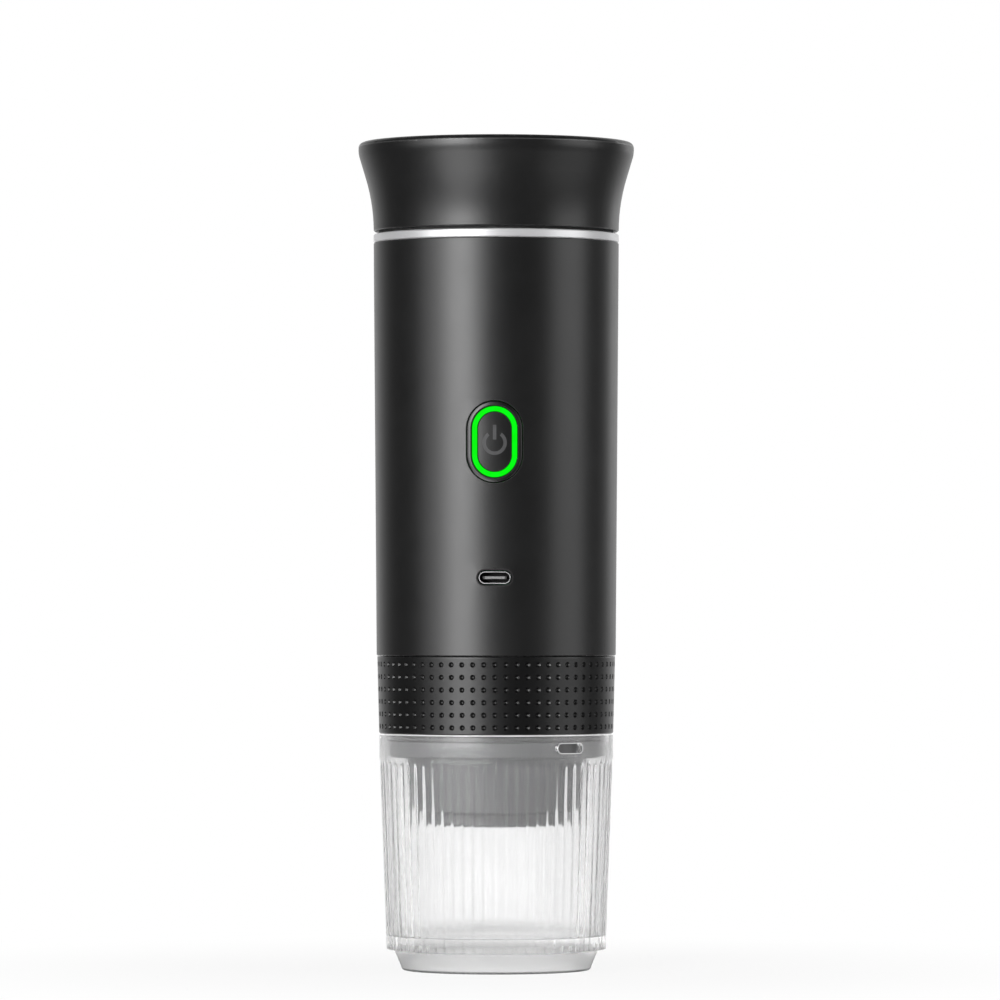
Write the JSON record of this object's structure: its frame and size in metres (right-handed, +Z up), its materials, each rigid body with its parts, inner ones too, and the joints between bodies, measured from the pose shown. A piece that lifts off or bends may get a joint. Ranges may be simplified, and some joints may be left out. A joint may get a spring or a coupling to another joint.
{
  "type": "portable espresso maker",
  "caption": "Slim portable electric espresso maker: flared lid over a water tank, black sleeve with a lit power button, dimpled brew head and a ribbed clear cup.",
  "frame": {"origin": "centre of the cup's foot, on the surface it stands on", "axes": "+Z up along the body, -Y towards the power button, +X to its right"},
  "size_m": [0.08, 0.08, 0.24],
  "materials": {
    "soft_black": "soft-touch matte",
    "grip_black": "satin",
    "bezel_black": "satin",
    "symbol_grey": "satin",
    "green_light": "lit, diffusing",
    "trim_metal": "turned, satin",
    "liner_grey": "satin",
    "tank_plastic": "satin",
    "gasket_rubber": "matte",
    "valve_rubber": "matte",
    "strainer_steel": "pressed sheet",
    "heater_metal": "plain",
    "frame_plastic": "moulded",
    "cell_sleeve": "shrink sleeve",
    "nickel": "plain",
    "board_green": "solder mask",
    "small_steel": "plated",
    "switch_black": "moulded",
    "lamp_white": "clear",
    "port_metal": "plated",
    "port_tongue": "moulded",
    "can_metal": "plated",
    "cap_plastic": "moulded",
    "magnet_grey": "plain",
    "gear_plastic": "moulded",
    "pinion_brass": "cut",
    "pump_plastic": "moulded",
    "hose_silicone": "silicone",
    "lead_red": "insulated",
    "shower_plastic": "moulded",
    "brew_plastic": "satin",
    "cup_clear": "frosted, clear"
  },
  "bodies": {
    "casing": {"outer_sleeve": "soft_black", "trim_ring": "trim_metal", "tank_liner": "tank_plastic", "tank_outlet": "tank_plastic", "outlet_strainer": "strainer_steel", "heater_plate": "heater_metal", "heater_cushion": "gasket_rubber", "temperature_sensor": "switch_black", "inner_frame": "frame_plastic", "battery_tray_lower": "frame_plastic", "battery_tray_upper": "frame_plastic", "battery_cell_1": "cell_sleeve", "battery_cell_2": "cell_sleeve", "battery_cell_3": "cell_sleeve", "cell_links": "nickel", "control_board": "board_green", "board_screws": "small_steel", "tact_switch": "switch_black", "ring_leds": "lamp_white", "button_bezel": "bezel_black", "light_ring": "green_light", "usb_socket_shell": "port_metal", "usb_socket_tongue": "port_tongue", "motor_can": "can_metal", "motor_end_cap": "cap_plastic", "motor_magnets": "magnet_grey", "ring_gear": "gear_plastic", "pump_housing": "pump_plastic", "pump_diaphragm": "valve_rubber", "valve_plate": "pump_plastic", "check_valves": "valve_rubber", "pump_head": "pump_plastic", "pump_screws": "small_steel", "inlet_hose": "hose_silicone", "heater_leads": "lead_red", "motor_leads": "lead_red", "brew_socket": "liner_grey", "shower_head": "shower_plastic", "brew_group_screws": "small_steel", "shower_screen": "strainer_steel", "brew_gasket": "gasket_rubber"},
    "lid": {"lid_shell": "soft_black", "lid_liner": "liner_grey", "lid_gasket": "gasket_rubber"},
    "power_button": {"power_button": "bezel_black", "power_symbol": "symbol_grey"},
    "brew_head": {"brew_housing": "brew_plastic", "grip_collar": "grip_black", "cup_seal": "gasket_rubber", "filter_basket": "strainer_steel"},
    "cup": {"cup": "cup_clear"},
    "rotor": {"motor_armature": "magnet_grey", "motor_shaft": "small_steel", "sun_pinion": "pinion_brass"},
    "carrier": {"planet_carrier": "can_metal", "drive_cam": "pump_plastic"},
    "planet_1": {"planet_gear_1": "gear_plastic"},
    "planet_2": {"planet_gear_2": "gear_plastic"},
    "planet_3": {"planet_gear_3": "gear_plastic"},
    "wobble": {"wobble_plate": "pump_plastic"}
  },
  "joints": [
    {"name": "lid_lift", "type": "slide", "parent": "casing", "child": "lid", "axis": [0, 0, 1], "range_m": [0, 0.06]},
    {"name": "button_press", "type": "slide", "parent": "casing", "child": "power_button", "axis": [0, 1, 0], "range_m": [0, 0.0006], "stiffness_N_per_m": 1200, "springref_m": -0.0005},
    {"name": "brew_head_off", "type": "slide", "parent": "casing", "child": "brew_head", "axis": [0, 0, -1], "range_m": [0, 0.045]},
    {"name": "cup_off", "type": "slide", "parent": "brew_head", "child": "cup", "axis": [0, 0, -1], "range_m": [0, 0.045]},
    {"name": "rotor_spin", "type": "hinge", "parent": "casing", "child": "rotor", "pos_m": [0, -0.01095, 0.15], "axis": [0, 0, 1], "continuous": true},
    {"name": "carrier_spin", "type": "hinge", "parent": "casing", "child": "carrier", "pos_m": [0, -0.01095, 0.132], "axis": [0, 0, 1], "continuous": true},
    {"name": "planet_1_spin", "type": "hinge", "parent": "carrier", "child": "planet_1", "pos_m": [0.006, -0.01095, 0.135], "axis": [0, 0, 1], "continuous": true},
    {"name": "planet_2_spin", "type": "hinge", "parent": "carrier", "child": "planet_2", "pos_m": [-0.003, -0.00575, 0.135], "axis": [0, 0, 1], "continuous": true},
    {"name": "planet_3_spin", "type": "hinge", "parent": "carrier", "child": "planet_3", "pos_m": [-0.003, -0.01615, 0.135], "axis": [0, 0, 1], "continuous": true},
    {"name": "wobble_nod", "type": "hinge", "parent": "carrier", "child": "wobble", "pos_m": [0, -0.01095, 0.1195], "axis": [0.1219, 0, 0.9925], "continuous": true, "deforming": ["pump_diaphragm"]}
  ],
  "couplings": [
    {"joint": "carrier_spin", "follows": "rotor_spin", "ratio": 0.25},
    {"joint": "planet_1_spin", "follows": "rotor_spin", "ratio": -0.75},
    {"joint": "planet_2_spin", "follows": "rotor_spin", "ratio": -0.75},
    {"joint": "planet_3_spin", "follows": "rotor_spin", "ratio": -0.75},
    {"joint": "wobble_nod", "follows": "rotor_spin", "ratio": -0.25}
  ]
}
